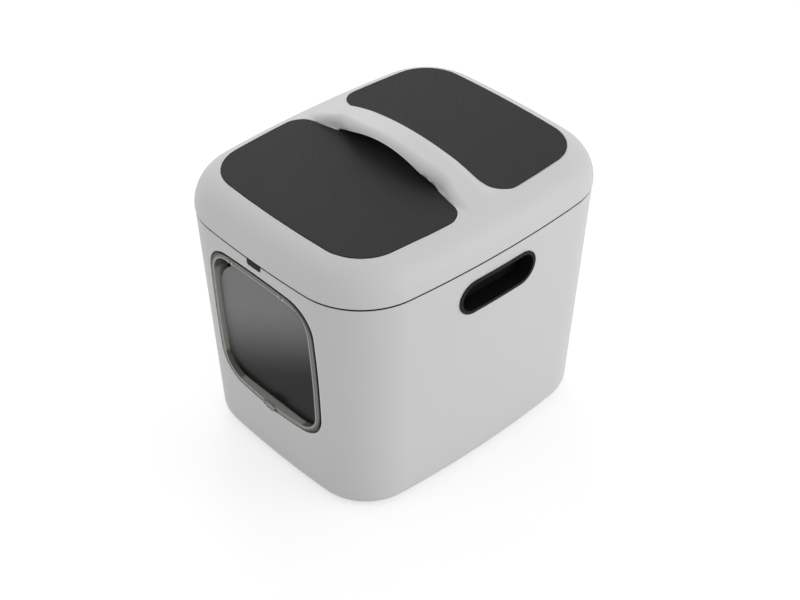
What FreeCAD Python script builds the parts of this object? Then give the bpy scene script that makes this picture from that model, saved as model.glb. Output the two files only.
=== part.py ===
import FreeCAD, Part
import math
import os

# Litter box: a deep bowed tub, a domed lid hinged at the rear, a swinging flap in the front wall
# and a filtered grip in each side wall. Millimetres, +X right, -Y front, +Z up.
# The origin is on the floor under the middle of the tub.

# Tub shell
base_half_width = 183.3
base_half_depth = 227.7
base_corner = 83.0
rim_corner = 101.0
front_bow = 1670.0
side_bow = 1655.0
front_draft = 3.2
side_draft = 2.65
tub_height = 358.6
wall = 3.0
floor_thickness = 3.5
base_round = 20.0
rim_width = 6.0
rim_depth = 8.0

# Seal in the rim
seal_gap = 3.2
seal_setback = 1.4
seal_width = 2.2
seal_groove_depth = 2.0
seal_clearance = 0.3
seal_side_play = 0.1

# Lid shell
lid_overhang = 0.8
lid_rise = 52.0
lid_shoulder = 51.5
lid_wall = 3.0
lid_flange = 3.0
lid_inner_shoulder = 41.0
skirt_clearance = 1.2
skirt_wall = 2.5
skirt_drop = 11.5

# Mats let into the lid
mat_margin = 39.8
front_mat_margin = 38.6
mat_thickness = 3.6
mat_drop = 0.6
mat_edge_gap = 0.5
front_mat_corner = 30.0
rear_mat_corner = 27.0
mat_edge_setback = 6.0
mat_knee = 132.0
mat_knee_round = 60.0
mat_tuck = 3.0
rear_mat_tuck = 1.5
mat_tongue_half_width = 98.0
mat_tongue_corner = 16.0
deck_under_mat = 3.0

# Handle bridge across the lid
bridge_front = -20.0
bridge_rear = 39.0
bridge_crest = 32.2
bridge_arch = 410.0
bridge_half_width = 178.0
bridge_front_round = 9.0
bridge_rear_round = 25.0
bridge_root = 20.0
bridge_wall = 3.2
finger_arch = 228.0
finger_height = 24.8
finger_depth = 43.0
finger_round = 8.0
crown_half_width = 75.0

# Lid hinge
hinge_spread = 70.0
hinge_setback = 3.0
hinge_barrel = 3.4
hinge_pin = 1.6
hinge_play = 0.06
hinge_side_play = 0.4
lid_knuckle = 14.0
tub_knuckle = 10.0
knuckle_web_rise = 5.0
knuckle_web_drop = 9.0

# Entrance and its frame
door_half_width = 105.2
door_sill = 103.0
door_header = 21.1
door_corner = 44.0
door_top_bow = 700.0
door_side_bow = 1500.0
frame_gap = 3.0
frame_proud = 0.4
frame_face = 8.0
frame_flange = 9.5
frame_flange_thickness = 3.0
frame_edge_round = 1.6
tunnel_overrun = 5.0

# Screws that hold the frame
screw_offset = 6.25
screw_head = 3.3
screw_head_height = 1.8
screw_shank = 1.2
screw_bite = 4.4
screw_seat_gap = 0.15
boss_radius = 2.3
boss_play = 0.3
screw_side_shares = (0.26, 0.74)
screw_top_share = 0.62
screw_bottom_share = 0.45

# Flap
flap_inset = 10.0
flap_thickness = 3.0
flap_side_gap = 2.5
flap_bottom_gap = 3.0
flap_bottom_corner = 38.0
flap_top_corner = 62.0
flap_axis_drop = 7.5
flap_top_drop = 2.0
flap_barrel = 3.2
flap_barrel_length = 9.0
flap_lug_spread = 52.0
flap_lug_width = 6.0
flap_lug_play = 0.4
flap_lug_drop = 5.0
flap_lug_setback = 1.0
flap_arm_drop = 13.0
flap_pin = 1.1
flap_pin_play = 0.06
flap_edge_round = 1.0
flap_lug_room = 1.0

# Flap lock
lock_half_width = 8.6
lock_tongue = 1.4
lock_tongue_thickness = 1.2
lock_plate = 2.0
lock_height = 12.5
lock_overhang = 3.0
lock_play = 0.3
lock_ridge = 1.4
lock_ridge_half_width = 7.0
lock_ridge_height = 2.4
lock_ridge_round = 0.8
lock_corner = 2.0
guide_bar = 2.2
guide_lip = 1.2
guide_seat = 1.5

# Latch
latch_half_width = 13.0
latch_height = 9.8
latch_top_gap = 1.2
latch_proud = 1.0
latch_plate = 2.4
latch_play = 0.4
latch_corner = 4.0
latch_arm_inner = 8.5
latch_arm_outer = 11.5
latch_arm_lift = 0.5
latch_arm_height = 3.0
latch_bar_height = 5.0
latch_bar_depth = 3.5
latch_reach = 19.5
strike_half_width = 7.3
strike_thickness = 2.5
strike_setback = 10.0
strike_catch = 3.0
strike_foot = 2.7
strike_gap = 0.6
guide_floor = 3.0
guide_floor_gap = 0.5
guide_rail_gap = 0.3
guide_wall = 2.6
guide_rear = 2.5
guide_rim_gap = 0.4
guide_lip_depth = 8.5
guide_lip_thickness = 2.0
guide_ear = 11.0
guide_ear_thickness = 2.5
guide_ear_bottom_gap = 0.4
guide_ear_height = 6.6
skirt_notch = 30.0
spring_strip = 0.6
spring_height = 4.0
spring_half_span = 10.0
spring_bow = 5.2
latch_screw_head = 2.8
latch_screw_shank = 1.3
latch_screw_bite = 4.5

# Grips and filters in the side walls
grip_half_length = 70.0
grip_half_height = 27.0
grip_header = 21.5
grip_flange_proud = 1.6
grip_rim = 5.0
grip_wall = 2.0
grip_hole_play = 0.3
grip_depth = 26.0
grip_back = 2.5
grip_slot_count = 11
grip_slot_width = 4.0
grip_slot_pitch = 9.0
grip_slot_height = 20.0
grip_slot_rise = 7.0
snap_length = 12.0
snap_height = 1.6
snap_depth = 3.0
snap_gap = 0.2
snap_spread = 40.0
filter_half_length = 58.0
filter_half_height = 18.0
filter_thickness = 8.0
filter_play = 0.5
cover_wall = 2.0
cover_slot_count = 9
cover_slot_width = 5.0
cover_slot_pitch = 11.0
cover_slot_half_height = 11.0

overrun = 40.0

V = FreeCAD.Vector
UPRIGHT = FreeCAD.Rotation()
FACING_FRONT = FreeCAD.Rotation(V(1, 0, 0), 90)
FACING_SIDE = FreeCAD.Rotation(V(1, 1, 1), 120)

# Places worked out from the sizes above
front_slope = math.tan(math.radians(front_draft))
side_slope = math.tan(math.radians(side_draft))
rim_half_width = base_half_width + tub_height * side_slope
rim_half_depth = base_half_depth + tub_height * front_slope
lid_base = tub_height + seal_gap
lid_top = lid_base + lid_rise
mat_top = lid_top - mat_drop
mat_floor = mat_top - mat_thickness
door_top = tub_height - door_header
door_middle = (door_sill + door_top) / 2
door_half_height = (door_top - door_sill) / 2
opening_top = door_top - frame_face
opening_sill = door_sill + frame_face
flap_axis = opening_top - flap_axis_drop
flap_plane = -(base_half_depth + flap_axis * front_slope) + flap_inset
tunnel_end = -(base_half_depth + opening_sill * front_slope) + flap_inset + tunnel_overrun
hinge_y = rim_half_depth + lid_overhang + hinge_setback
hinge_z = lid_base
latch_bottom = tub_height + seal_gap - latch_top_gap - latch_height
grip_middle = tub_height - grip_header - grip_half_height


def arc(start, middle, end):
    return Part.Arc(start, middle, end).toShape()


def bowed_outline(half_u, half_v, bow_u, bow_v, corner):
    """Eight tangent arcs round the origin: four bowed sides joined by four round corners."""
    centre_u = V(half_u - bow_u, 0, 0)
    centre_v = V(0, bow_v - half_v, 0)
    reach_u = bow_u - corner
    reach_v = bow_v - corner
    across = centre_u - centre_v
    span = across.Length
    along = across / span
    foot = (reach_v ** 2 - reach_u ** 2 + span ** 2) / (2 * span)
    rise = math.sqrt(reach_v ** 2 - foot ** 2)
    heart = centre_v + along * foot + V(-along.y, along.x, 0) * rise
    to_v = (heart - centre_v) / reach_v
    to_u = (heart - centre_u) / reach_u
    low = centre_v + to_v * bow_v
    side = centre_u + to_u * bow_u
    bend = (to_u + to_v) / (to_u + to_v).Length
    mid = heart + bend * corner

    def at(point, sx, sy):
        return V(point.x * sx, point.y * sy, 0)

    return [
        arc(at(low, -1, 1), V(0, -half_v, 0), low),
        arc(low, mid, side),
        arc(side, V(half_u, 0, 0), at(side, 1, -1)),
        arc(at(side, 1, -1), at(mid, 1, -1), at(low, 1, -1)),
        arc(at(low, 1, -1), V(0, half_v, 0), at(low, -1, -1)),
        arc(at(low, -1, -1), at(mid, -1, -1), at(side, -1, -1)),
        arc(at(side, -1, -1), V(-half_u, 0, 0), at(side, -1, 1)),
        arc(at(side, -1, 1), at(mid, -1, 1), at(low, -1, 1)),
    ]


def stadium_outline(half_length, radius):
    """A long hole's outline round the origin, its length along the first axis."""
    straight = half_length - radius
    return [
        Part.makeLine(V(-straight, -radius, 0), V(straight, -radius, 0)),
        arc(V(straight, -radius, 0), V(half_length, 0, 0), V(straight, radius, 0)),
        Part.makeLine(V(straight, radius, 0), V(-straight, radius, 0)),
        arc(V(-straight, radius, 0), V(-half_length, 0, 0), V(-straight, -radius, 0)),
    ]


def wire(edges, origin, turn):
    outline = Part.Wire(edges)
    outline.Placement = FreeCAD.Placement(origin, turn)
    return outline


def prism(edges, origin, turn, sweep):
    return Part.Face(wire(edges, origin, turn)).extrude(sweep)


def block(x0, x1, y0, y1, z0, z1):
    return Part.makeBox(x1 - x0, y1 - y0, z1 - z0, V(x0, y0, z0))


def rod(radius, start, end):
    return Part.makeCylinder(radius, (end - start).Length, start, end - start)


def edges_where(solid, test):
    return [e for e in solid.Edges if all(test(v.Point) for v in e.Vertexes)]


def mirrored(solid):
    return solid.mirror(V(0, 0, 0), V(1, 0, 0))


def tub_outline(inset, z):
    corner = base_corner + (rim_corner - base_corner) * z / tub_height
    return bowed_outline(
        base_half_width + z * side_slope - inset,
        base_half_depth + z * front_slope - inset,
        side_bow - inset,
        front_bow - inset,
        corner - inset,
    )


def tub_block(inset, z0, z1):
    """The tub's tapered form between two heights, moved in from its outer face by inset."""
    sections = [wire(tub_outline(inset, z), V(0, 0, z), UPRIGHT) for z in (z0, z1)]
    return Part.makeLoft(sections, True, True)


def lid_prism(inset, z0, z1):
    half_width = rim_half_width + lid_overhang - inset
    half_depth = rim_half_depth + lid_overhang - inset
    edges = bowed_outline(
        half_width, half_depth, side_bow - inset, front_bow - inset, rim_corner + lid_overhang - inset
    )
    return prism(edges, V(0, 0, z0), UPRIGHT, V(0, 0, z1 - z0))


def rounded_foot(solid, z, radius):
    return solid.makeFillet(radius, edges_where(solid, lambda p: abs(p.z - z) < wall / 2))


def door_prism(inset, y0, y1):
    """The entrance's outline through the front wall, moved in from the frame's edge by inset."""
    edges = bowed_outline(
        door_half_width - inset,
        door_half_height - inset,
        door_side_bow - inset,
        door_top_bow - inset,
        door_corner - inset,
    )
    return prism(edges, V(0, y0, door_middle), FACING_FRONT, V(0, y1 - y0, 0))


def grip_prism(inset, x0, x1):
    edges = stadium_outline(grip_half_length - inset, grip_half_height - inset)
    return prism(edges, V(x0, 0, grip_middle), FACING_SIDE, V(x1 - x0, 0, 0))


def front_face_y(solid, x, z):
    """Where a line from the front first meets a solid."""
    probe = Part.makeLine(V(x, -rim_half_depth - overrun, z), V(x, 0, z))
    return min(v.Y for v in probe.common(solid).Vertexes)


front_limit = -rim_half_depth - overrun
wall_core = tub_block(wall, 0, tub_height)
flange_core = tub_block(wall + frame_flange_thickness, 0, tub_height)


def door_screw_places():
    """Screw centres round the frame's flange: two on each upright, two above and two below."""
    side_x = door_half_width + screw_offset
    places = []
    for side in (-1, 1):
        for share in screw_side_shares:
            places.append((side * side_x, door_sill + share * (door_top - door_sill)))
        top_x = screw_top_share * door_half_width
        top_sag = top_x ** 2 / (2 * door_top_bow)
        places.append((side * top_x, door_top + screw_offset - top_sag))
        low_x = screw_bottom_share * door_half_width
        low_sag = low_x ** 2 / (2 * door_top_bow)
        places.append((side * low_x, door_sill - screw_offset + low_sag))
    return places


def screw_seat(x, z):
    """The innermost point of the flange under a screw's head."""
    ring = [(x - screw_head, z), (x + screw_head, z), (x, z - screw_head), (x, z + screw_head)]
    return max(front_face_y(flange_core, u, w) for u, w in ring) + screw_seat_gap


def latch_notch(half_width, z0, inner):
    """The button's outline through the rim, round at its two lower corners."""
    notch = block(-half_width, half_width, front_limit, inner, z0, tub_height + overrun)
    low = edges_where(notch, lambda p: abs(p.z - z0) < latch_play / 2)
    low = [e for e in low if abs(e.Vertexes[0].X - e.Vertexes[-1].X) < latch_play / 2]
    return notch.makeFillet(latch_corner, low)


def hinge_knuckle(x, length, y_root, z_low, z_high):
    """A barrel on the hinge's axis with a web that runs back to the wall."""
    half = length / 2
    barrel = rod(hinge_barrel, V(x - half, hinge_y, hinge_z), V(x + half, hinge_y, hinge_z))
    web = block(x - half, x + half, y_root, hinge_y, z_low, z_high)
    return barrel.fuse(web)


def knuckle_root():
    """Where the knuckles' webs start, inside the rear wall, which has the front wall's curve."""
    outermost = hinge_spread + lid_knuckle / 2 + hinge_side_play + tub_knuckle
    return -front_face_y(wall_core, outermost, tub_height - rim_depth) - wall


def tub_knuckle_places():
    step = lid_knuckle / 2 + hinge_side_play + tub_knuckle / 2
    return [side * hinge_spread + turn * step for side in (-1, 1) for turn in (-1, 1)]


def make_tub():
    outer = rounded_foot(tub_block(0, 0, tub_height), 0, base_round)
    rim_step = tub_height - rim_depth
    room = rounded_foot(tub_block(wall, floor_thickness, rim_step), floor_thickness, base_round - wall)
    mouth = tub_block(rim_width, rim_step - wall, tub_height + overrun)
    tub = outer.cut(room).cut(mouth)
    tub = tub.cut(seal_ring(0))
    tub = tub.cut(door_prism(-frame_gap, front_limit, tunnel_end + overrun))
    tub = tub.cut(latch_notch(latch_half_width + latch_play, latch_bottom - latch_play, tunnel_end))
    for side in (1, -1):
        reach = side * (rim_half_width + overrun)
        tub = tub.cut(grip_prism(grip_rim - grip_wall - grip_hole_play, 0, reach))
    for x, z in door_screw_places():
        seat = screw_seat(x, z)
        root = front_face_y(wall_core, x, z) - wall / 2
        boss = rod(boss_radius, V(x, root, z), V(x, seat - boss_play, z))
        pilot = rod(screw_shank, V(x, seat - screw_bite - boss_play, z), V(x, seat, z))
        tub = tub.fuse(boss).cut(pilot)
    for x, z in latch_screw_places():
        seat = front_face_y(tub_block(rim_width, 0, tub_height), x, z)
        tub = tub.cut(rod(latch_screw_shank, V(x, seat - latch_screw_bite, z), V(x, seat + rim_width, z)))
    web_root = knuckle_root()
    for x in tub_knuckle_places():
        web_low = hinge_z - knuckle_web_drop
        knuckle = hinge_knuckle(x, tub_knuckle, web_root, web_low, tub_height)
        tub = tub.fuse(knuckle.cut(tub_block(seal_setback / 2, 0, tub_height)))
    reach = hinge_spread + lid_knuckle + tub_knuckle
    return tub.cut(rod(hinge_pin, V(-reach, hinge_y, hinge_z), V(reach, hinge_y, hinge_z)))


def seal_ring(play):
    """The groove in the rim, or the strip that lies in it when play is set."""
    low = tub_height - seal_groove_depth
    high = tub_height + overrun
    outer = tub_block(seal_setback + play, low, high)
    return outer.cut(tub_block(seal_setback + seal_width - play, low, high))


def make_rim_seal():
    reach = rim_half_depth + overrun
    slab = block(-reach, reach, -reach, reach, 0, lid_base - seal_clearance)
    ring = seal_ring(seal_side_play).common(slab)
    return ring.cut(latch_notch(latch_half_width + latch_play, latch_bottom - latch_play, 0))


def upright_edges(solid, x0, x1, y0, y1):
    """Upright edges of a mat whose plan place lies in a window."""
    found = []
    for e in solid.Edges:
        place = e.CenterOfMass
        if e.BoundBox.ZLength > mat_drop / 2 and x0 < abs(place.x) < x1 and y0 < place.y < y1:
            found.append(e)
    return found


def front_mat_form(grow, z0, z1):
    """The front mat: its rear edge runs in to a tongue that goes on under the handle."""
    edge = bridge_front - mat_edge_setback + grow
    root = bridge_front + mat_tuck + grow
    half = mat_tongue_half_width + grow
    knee = mat_knee + grow
    reach = rim_half_width + overrun
    far = -rim_half_depth - overrun
    corners = [
        (-reach, far), (reach, far), (reach, edge), (knee, edge), (half, root),
        (-half, root), (-knee, edge), (-reach, edge), (-reach, far),
    ]
    field = Part.Face(Part.makePolygon([V(x, y, z0) for x, y in corners])).extrude(V(0, 0, z1 - z0))
    body = lid_prism(front_mat_margin - grow, z0, z1).common(field)
    near = mat_edge_setback
    knees = upright_edges(body, mat_tongue_half_width + near, mat_knee + near, edge - near, edge + near)
    body = body.makeFillet(mat_knee_round, knees)
    outer = upright_edges(body, mat_knee + near, reach, edge - near, edge + near)
    body = body.makeFillet(front_mat_corner + grow, outer)
    tip = bridge_front + finger_depth - finger_round + grow
    tongue = block(-half, half, bridge_front - mat_margin, tip, z0, z1)
    ends = upright_edges(tongue, 0, reach, tip - near, tip + near)
    return body.fuse(tongue.makeFillet(mat_tongue_corner + grow, ends)).removeSplitter()


def rear_mat_form(grow, z0, z1):
    edge = bridge_rear - rear_mat_tuck - grow
    reach = rim_half_width + overrun
    body = lid_prism(mat_margin - grow, z0, z1).common(block(-reach, reach, edge, reach * 2, z0, z1))
    near = mat_edge_setback
    outer = upright_edges(body, mat_knee, reach, edge - near, edge + near)
    return body.makeFillet(rear_mat_corner + grow, outer)


def arch_outline(radius, crest, half_width, foot):
    """The region under a round arch, in the plane across the handle."""
    sag = radius - math.sqrt(radius ** 2 - half_width ** 2)
    left = V(-half_width, crest - sag, 0)
    right = V(half_width, crest - sag, 0)
    return [
        arc(left, V(0, crest, 0), right),
        Part.makeLine(right, V(half_width, foot, 0)),
        Part.makeLine(V(half_width, foot, 0), V(-half_width, foot, 0)),
        Part.makeLine(V(-half_width, foot, 0), left),
    ]


def bridge_form(inset, front_round, rear_round):
    """The handle's outer form, or its hollow when inset is set."""
    crest = lid_top + bridge_crest - inset
    foot = lid_top - bridge_root
    edges = arch_outline(bridge_arch - inset, crest, bridge_half_width - inset, foot)
    y0 = bridge_front + inset
    depth = bridge_rear - bridge_front - 2 * inset
    form = prism(edges, V(0, y0, 0), FACING_FRONT, V(0, depth, 0))

    def top_edge(y):
        return [
            e for e in form.Edges
            if e.Curve.TypeId == "Part::GeomCircle" and abs(e.Vertexes[0].Y - y) < inset / 2 + wall / 2
        ]

    form = form.makeFillet(front_round, top_edge(y0))
    return form.makeFillet(rear_round, top_edge(y0 + depth))


def finger_form(grow):
    """The finger pocket under the handle; grow gives the skin round it."""
    crest = lid_top + finger_height + grow
    height = finger_height + grow
    radius = finger_arch + grow
    half_width = math.sqrt(radius ** 2 - (radius - height) ** 2)
    left = V(-half_width, lid_top, 0)
    right = V(half_width, lid_top, 0)
    sill = V(0, lid_top - mat_top + grow, 0)
    edges = [
        arc(left, V(0, crest, 0), right),
        Part.makeLine(right, right - sill),
        Part.makeLine(right - sill, left - sill),
        Part.makeLine(left - sill, left),
    ]
    back = bridge_front + finger_depth + grow
    front = bridge_front - bridge_rear
    form = prism(edges, V(0, front, 0), FACING_FRONT, V(0, back - front, 0))
    rear = [
        e for e in form.Edges
        if e.Curve.TypeId == "Part::GeomCircle" and abs(e.Vertexes[0].Y - back) < wall / 2
    ]
    return form.makeFillet(finger_round + grow, rear)


def make_lid():
    outer = lid_prism(0, lid_base, lid_top)
    top = edges_where(outer, lambda p: abs(p.z - lid_top) < wall / 2)
    outer = outer.makeFillet(lid_shoulder, top)
    room_top = mat_floor - deck_under_mat
    room = lid_prism(lid_wall, lid_base + lid_flange, room_top)
    top = edges_where(room, lambda p: abs(p.z - room_top) < wall / 2)
    room = room.makeFillet(lid_inner_shoulder, top)

    skin = finger_form(bridge_wall)
    crown_depth = bridge_front + finger_depth + bridge_wall
    crown = block(
        -crown_half_width, crown_half_width, bridge_front, crown_depth, lid_top, lid_top + bridge_crest
    )
    hollow = bridge_form(bridge_wall, bridge_front_round - bridge_wall, bridge_rear_round - bridge_wall)
    hollow = hollow.cut(skin).cut(crown)
    deck = block(
        -finger_arch, finger_arch, bridge_front, crown_depth, room_top, lid_top
    ).common(skin.translated(V(0, 0, room_top - lid_top)))
    hollow = hollow.cut(deck)

    lid = outer.fuse(bridge_form(0, bridge_front_round, bridge_rear_round))
    lid = lid.cut(room).cut(hollow)
    lid = lid.cut(finger_form(0))
    lid = lid.cut(front_mat_form(mat_edge_gap, mat_floor, mat_top))
    lid = lid.cut(rear_mat_form(mat_edge_gap, mat_floor, lid_top))
    front_clear = front_mat_form(mat_edge_gap, mat_top, lid_top)
    reach = rim_half_width + overrun
    ahead = block(-reach, reach, front_limit, bridge_front, 0, lid_top)
    lid = lid.cut(front_clear.common(ahead))

    skirt_out = lid_overhang + rim_width + skirt_clearance
    skirt_in = skirt_out + skirt_wall
    lid = lid.cut(lid_prism(skirt_in, lid_base - overrun, lid_base + lid_flange))
    skirt = lid_prism(skirt_out, lid_base - skirt_drop, lid_base + lid_flange / 2)
    skirt = skirt.cut(lid_prism(skirt_in, lid_base - overrun, lid_top))
    gap = block(-skirt_notch, skirt_notch, front_limit, 0, 0, lid_base)
    lid = lid.fuse(skirt.cut(gap))

    strike_front = -rim_half_depth + strike_setback - strike_thickness
    strike_back = strike_front + strike_thickness
    foot_top = latch_bottom + latch_arm_lift - strike_gap
    foot_low = foot_top - strike_foot
    foot_tip = latch_bar_front() + strike_catch
    half = strike_half_width
    plate = block(-half, half, strike_front, strike_back, foot_low, lid_base + lid_flange)
    foot = block(-half, half, strike_front, foot_tip, foot_low, foot_top)
    lid = lid.fuse(plate).fuse(foot)

    web_root = knuckle_root()
    reach = lid_knuckle + hinge_barrel
    for side in (-1, 1):
        x = side * hinge_spread
        knuckle = hinge_knuckle(x, lid_knuckle, web_root, lid_base, lid_base + knuckle_web_rise)
        lid = lid.fuse(knuckle.cut(lid_prism(lid_wall, lid_base, lid_top)))
        bore = rod(hinge_pin + hinge_play, V(x - reach, hinge_y, hinge_z), V(x + reach, hinge_y, hinge_z))
        lid = lid.cut(bore)
    return lid


def make_lid_hinge_pin(side):
    half = lid_knuckle / 2 + hinge_side_play + tub_knuckle
    x = side * hinge_spread
    return rod(hinge_pin, V(x - half, hinge_y, hinge_z), V(x + half, hinge_y, hinge_z))


def flap_lug_form(side):
    """A rib that hangs from the head of the tunnel and carries a flap pin."""
    x = side * flap_lug_spread
    half = flap_lug_width / 2
    rib_low = opening_top - flap_lug_drop
    rib_back = tunnel_end - flap_lug_setback
    rib = block(x - half, x + half, front_limit, rib_back, rib_low, opening_top + frame_face / 2)
    rib = rib.common(tub_block(flap_lug_setback - frame_proud, 0, tub_height))
    ear = rod(flap_barrel, V(x - half, flap_plane, flap_axis), V(x + half, flap_plane, flap_axis))
    hanger = block(
        x - half, x + half, flap_plane - flap_barrel, flap_plane + flap_barrel, flap_axis, opening_top
    )
    hanger = hanger.fuse(ear)
    rise = flap_pin + flap_pin_play
    bore = rod(rise, V(x - half, flap_plane, flap_axis), V(x + half, flap_plane, flap_axis))
    return rib.fuse(hanger).cut(bore)


def lean(solid):
    """Turns a form built on an upright plane at the sill to lie on the frame's leaning face."""
    solid.rotate(V(0, 0, 0), V(1, 0, 0), front_draft)
    face = -(base_half_depth + opening_sill * front_slope + frame_proud)
    solid.translate(V(0, face, opening_sill))
    return solid


def lock_guide_form(side):
    """An edge rail on the frame's lower bar that holds one tongue of the lock."""
    inner = lock_half_width + lock_play
    outer = lock_half_width + lock_tongue + lock_play + guide_bar
    lip_near = -(lock_play + lock_tongue_thickness + lock_play)
    lip_far = lip_near - guide_lip
    low = -frame_face + guide_seat
    post = block(outer - guide_bar, outer, lip_far, guide_seat, low, 0)
    lip = block(inner, outer, lip_far, lip_near, low, 0)
    rail = post.fuse(lip)
    return lean(rail if side > 0 else mirrored(rail))


def make_door_frame():
    body = door_prism(0, front_limit, tunnel_end).common(tub_block(-frame_proud, 0, tub_height))
    front = [
        e for e in body.Edges
        if all(v.Y < flap_plane for v in e.Vertexes)
        and max(v.Y for v in e.Vertexes) - min(v.Y for v in e.Vertexes) < door_half_height
        and e.CenterOfMass.y < flap_plane - frame_proud
    ]
    body = body.makeFillet(frame_edge_round, front)
    flange = door_prism(-frame_flange, front_limit, 0).common(wall_core).cut(flange_core)
    body = body.fuse(flange.cut(door_prism(frame_face / 2, front_limit, 0)))
    body = body.cut(door_prism(frame_face, front_limit, 0))
    for side in (-1, 1):
        body = body.fuse(flap_lug_form(side)).fuse(lock_guide_form(side))
    for x, z in door_screw_places():
        body = body.cut(rod(boss_radius + boss_play, V(x, front_limit, z), V(x, 0, z)))
    return body


def make_door_screws():
    screws = []
    for x, z in door_screw_places():
        seat = screw_seat(x, z)
        head = rod(screw_head, V(x, seat, z), V(x, seat + screw_head_height, z))
        screws.append(head.fuse(rod(screw_shank, V(x, seat - screw_bite, z), V(x, seat, z))))
    return Part.makeCompound(screws)


def flap_barrel_places():
    """Barrel centres on either side of each lug."""
    step = flap_lug_width / 2 + flap_lug_play + flap_barrel_length / 2
    return [side * flap_lug_spread + turn * step for side in (-1, 1) for turn in (-1, 1)]


def flap_outline():
    half = door_half_width - frame_face - flap_side_gap
    low = opening_sill + flap_bottom_gap
    high = flap_axis - flap_top_drop
    top = flap_top_corner
    foot = flap_bottom_corner
    bend = math.sqrt(2) / 2

    def right_half(sign):
        return (
            V(sign * (half - foot), low, 0),
            V(sign * (half - foot * (1 - bend)), low + foot * (1 - bend), 0),
            V(sign * half, low + foot, 0),
            V(sign * half, high - top, 0),
            V(sign * (half - top * (1 - bend)), high - top * (1 - bend), 0),
            V(sign * (half - top), high, 0),
        )

    right = right_half(1)
    left = right_half(-1)
    return [
        Part.makeLine(left[0], right[0]),
        arc(right[0], right[1], right[2]),
        Part.makeLine(right[2], right[3]),
        arc(right[3], right[4], right[5]),
        Part.makeLine(right[5], left[5]),
        arc(left[5], left[4], left[3]),
        Part.makeLine(left[3], left[2]),
        arc(left[2], left[1], left[0]),
    ]


def make_flap_pane():
    back = flap_plane + flap_thickness / 2
    front = flap_plane - flap_thickness / 2
    pane = prism(flap_outline(), V(0, front, 0), FACING_FRONT, V(0, flap_thickness, 0))
    rims = [e for e in pane.Edges if e.BoundBox.YLength < flap_thickness / 2]
    pane = pane.makeFillet(flap_edge_round, rims)
    half = flap_barrel_length / 2
    for x in flap_barrel_places():
        barrel = rod(flap_barrel, V(x - half, flap_plane, flap_axis), V(x + half, flap_plane, flap_axis))
        arm = block(x - half, x + half, front, back, flap_axis - flap_arm_drop, flap_axis)
        pane = pane.fuse(barrel).fuse(arm)
    lug_half = flap_lug_width / 2 + flap_lug_play
    for x in (-flap_lug_spread, flap_lug_spread):
        low, high = V(x - lug_half, flap_plane, flap_axis), V(x + lug_half, flap_plane, flap_axis)
        pane = pane.cut(rod(flap_barrel + flap_lug_room, low, high))
    reach = door_half_width
    pane = pane.cut(rod(flap_pin, V(-reach, flap_plane, flap_axis), V(reach, flap_plane, flap_axis)))
    pane.rotate(V(0, flap_plane, flap_axis), V(1, 0, 0), front_draft)
    return pane


def make_flap_pin(side):
    half = flap_lug_width / 2 + flap_lug_play + flap_barrel_length
    x = side * flap_lug_spread
    return rod(flap_pin, V(x - half, flap_plane, flap_axis), V(x + half, flap_plane, flap_axis))


def make_flap_lock():
    low = -frame_face - lock_overhang
    high = low + lock_height
    plate = block(-lock_half_width, lock_half_width, -lock_play - lock_plate, -lock_play, low, high)
    upper = edges_where(plate, lambda p: abs(p.z - high) < lock_play)
    upper = [e for e in upper if e.BoundBox.YLength > lock_plate / 2]
    plate = plate.makeFillet(lock_corner, upper)
    wide = lock_half_width + lock_tongue
    tongues = block(-wide, wide, -lock_play - lock_tongue_thickness, -lock_play, low, high - lock_corner)
    near = -lock_play - lock_plate
    ridge = block(
        -lock_ridge_half_width, lock_ridge_half_width, near - lock_ridge, near,
        low, low + lock_ridge_height
    )
    outer = [e for e in edges_where(ridge, lambda p: p.y < near - lock_ridge / 2)]
    ridge = ridge.makeFillet(lock_ridge_round, outer)
    return lean(plate.fuse(tongues).fuse(ridge))


def latch_bar_front():
    """The near face of the bar that holds the lid's strike."""
    return -rim_half_depth + latch_reach - latch_bar_depth


def latch_screw_places():
    ear_low = tub_height - rim_depth + guide_ear_bottom_gap
    x = latch_guide_half() + guide_ear / 2
    return [(side * x, ear_low + guide_ear_height / 2) for side in (-1, 1)]


def latch_guide_half():
    return latch_arm_outer + latch_play + guide_wall


def make_latch_button():
    top = latch_bottom + latch_height
    face = latch_notch(latch_half_width, latch_bottom, -rim_half_depth + latch_plate)
    face = face.common(tub_block(-latch_proud, 0, tub_height + overrun))
    reach = rim_half_width
    face = face.common(block(-reach, reach, front_limit, 0, 0, top))
    low = latch_bottom + latch_arm_lift
    bar_back = -rim_half_depth + latch_reach
    root = -rim_half_depth + latch_plate / 2
    for side in (-1, 1):
        near, far = sorted((side * latch_arm_inner, side * latch_arm_outer))
        face = face.fuse(block(near, far, root, bar_back, low, low + latch_arm_height))
    bar = block(-latch_arm_outer, latch_arm_outer, latch_bar_front(), bar_back, low, low + latch_bar_height)
    bar_middle = V(0, bar_back - latch_bar_depth / 2, low + latch_bar_height / 2)
    edge = edges_where(bar, lambda p: p.z > bar_middle.z and p.y < bar_middle.y)
    bar = bar.makeChamfer(latch_bar_depth / 2, edge)
    return face.fuse(bar)


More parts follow.
